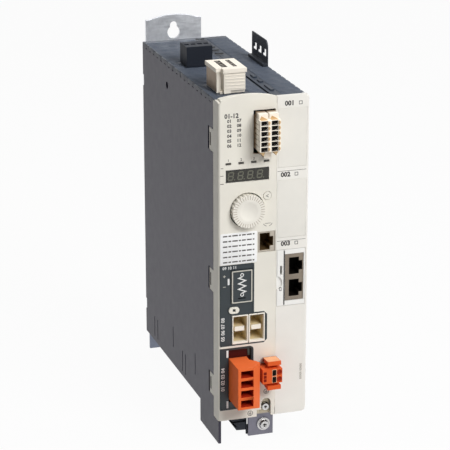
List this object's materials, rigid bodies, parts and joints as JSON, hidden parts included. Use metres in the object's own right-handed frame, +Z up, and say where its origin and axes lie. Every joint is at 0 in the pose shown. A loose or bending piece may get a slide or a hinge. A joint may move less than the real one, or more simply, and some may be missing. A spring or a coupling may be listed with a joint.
{
  "type": "servo drive",
  "caption": "Slim cabinet-mounted servo drive: connector column with display, press-and-turn knob and pull-off plugs beside a column of option slots.",
  "frame": {"origin": "on the panel plane (rear face of the back plate), midway across the drive, level with the housing's underside", "axes": "+X to the right of someone facing the front, +Y rearward into the panel, +Z up"},
  "size_m": [0.068, 0.216, 0.2808],
  "materials": {
    "dark_grey_moulding": "fine-grained moulding",
    "pale_moulding": "fine-grained moulding",
    "slate_moulding": "satin moulding",
    "cream_moulding": "satin moulding",
    "orange_moulding": "satin moulding",
    "maroon_moulding": "satin moulding",
    "black_moulding": "satin moulding",
    "smoked_lens": "tinted, polished",
    "light_pipe": "clear, polished",
    "zinc_plated_steel": "zinc plated",
    "extruded_aluminium": "extruded",
    "tinned_shield": "tinned",
    "circuit_board": "solder mask",
    "capacitor_sleeve": "shrunk sleeve",
    "ribbon_insulation": "ribbed insulation"
  },
  "bodies": {
    "drive": {"back_plate": "zinc_plated_steel", "brake_header": "black_moulding", "bus_capacitor_1": "capacitor_sleeve", "bus_capacitor_2": "capacitor_sleeve", "cable_comb": "black_moulding", "cable_rest": "black_moulding", "card_rack": "black_moulding", "carrier_bezel": "pale_moulding", "control_board": "circuit_board", "control_ribbon": "ribbon_insulation", "cover_catch": "cream_moulding", "dc_panel": "slate_moulding", "dc_socket_left": "cream_moulding", "dc_socket_right": "cream_moulding", "display_block": "black_moulding", "display_window": "smoked_lens", "earth_plate": "zinc_plated_steel", "earth_screw_lower": "zinc_plated_steel", "earth_screw_upper": "zinc_plated_steel", "encoder": "tinned_shield", "fan_frame": "black_moulding", "front_cover": "pale_moulding", "heat_sink": "extruded_aluminium", "io_header": "black_moulding", "key_switch": "black_moulding", "light_guide": "light_pipe", "main_housing": "dark_grey_moulding", "mains_header": "black_moulding", "motor_header": "maroon_moulding", "motor_panel": "slate_moulding", "plate_screw_lower": "zinc_plated_steel", "plate_screw_upper": "zinc_plated_steel", "power_board": "circuit_board", "power_module": "black_moulding", "rectifier": "black_moulding", "resistor_header": "black_moulding", "service_jack": "tinned_shield", "slot_backplane": "circuit_board", "slot_carrier": "dark_grey_moulding", "supply_header": "black_moulding", "terminal_board": "circuit_board"},
    "knob_plunger": {"knob_plunger": "zinc_plated_steel"},
    "knob": {"knob": "pale_moulding", "knob_shaft": "zinc_plated_steel"},
    "escape_key": {"escape_key": "pale_moulding"},
    "fan_rotor": {"fan_rotor": "black_moulding"},
    "io_plug": {"io_plug": "cream_moulding"},
    "motor_plug": {"motor_plug": "orange_moulding"},
    "brake_plug": {"brake_plug": "orange_moulding"},
    "brake_release_upper": {"brake_release_upper": "black_moulding"},
    "brake_release_lower": {"brake_release_lower": "black_moulding"},
    "mains_plug": {"mains_plug": "black_moulding"},
    "supply_plug": {"supply_plug": "cream_moulding"},
    "slot_cover_1": {"slot_cover_1": "pale_moulding"},
    "slot_cover_2": {"slot_cover_2": "pale_moulding"},
    "option_module": {"module_face": "pale_moulding", "module_jacks": "tinned_shield", "module_board": "circuit_board"},
    "resistor_cover": {"resistor_cover": "slate_moulding"}
  },
  "joints": [
    {"name": "knob_press", "type": "slide", "parent": "drive", "child": "knob_plunger", "axis": [0, 1, 0], "range_m": [0, 0.0008], "stiffness_N_per_m": 3000, "springref_m": -0.0003},
    {"name": "knob_turn", "type": "hinge", "parent": "knob_plunger", "child": "knob", "pos_m": [-0.01225, -0.195, 0.161], "axis": [0, 1, 0], "continuous": true},
    {"name": "escape_press", "type": "slide", "parent": "drive", "child": "escape_key", "axis": [0, 1, 0], "range_m": [0, 0.0006], "stiffness_N_per_m": 2500, "springref_m": -0.0003},
    {"name": "fan_spin", "type": "hinge", "parent": "drive", "child": "fan_rotor", "pos_m": [0, -0.0226, 0.0023], "axis": [0, 0, 1], "continuous": true},
    {"name": "io_plug_pull", "type": "slide", "parent": "drive", "child": "io_plug", "axis": [0, -1, 0], "range_m": [0, 0.02]},
    {"name": "motor_plug_pull", "type": "slide", "parent": "drive", "child": "motor_plug", "axis": [0, -1, 0], "range_m": [0, 0.02]},
    {"name": "brake_plug_pull", "type": "slide", "parent": "drive", "child": "brake_plug", "axis": [0, -1, 0], "range_m": [0, 0.016]},
    {"name": "brake_release_upper_press", "type": "slide", "parent": "brake_plug", "child": "brake_release_upper", "axis": [0, 1, 0], "range_m": [0, 0.0008], "stiffness_N_per_m": 1500, "springref_m": -0.0003},
    {"name": "brake_release_lower_press", "type": "slide", "parent": "brake_plug", "child": "brake_release_lower", "axis": [0, 1, 0], "range_m": [0, 0.0008], "stiffness_N_per_m": 1500, "springref_m": -0.0003},
    {"name": "mains_plug_pull", "type": "slide", "parent": "drive", "child": "mains_plug", "axis": [0, 0, 1], "range_m": [0, 0.015]},
    {"name": "supply_plug_pull", "type": "slide", "parent": "drive", "child": "supply_plug", "axis": [0, 0, 1], "range_m": [0, 0.015]},
    {"name": "slot_cover_1_pull", "type": "slide", "parent": "drive", "child": "slot_cover_1", "axis": [0, -1, 0], "range_m": [0, 0.012]},
    {"name": "slot_cover_2_pull", "type": "slide", "parent": "drive", "child": "slot_cover_2", "axis": [0, -1, 0], "range_m": [0, 0.012]},
    {"name": "module_pull", "type": "slide", "parent": "drive", "child": "option_module", "axis": [0, -1, 0], "range_m": [0, 0.105]},
    {"name": "resistor_cover_pull", "type": "slide", "parent": "drive", "child": "resistor_cover", "axis": [0, -1, 0], "range_m": [0, 0.01]}
  ]
}
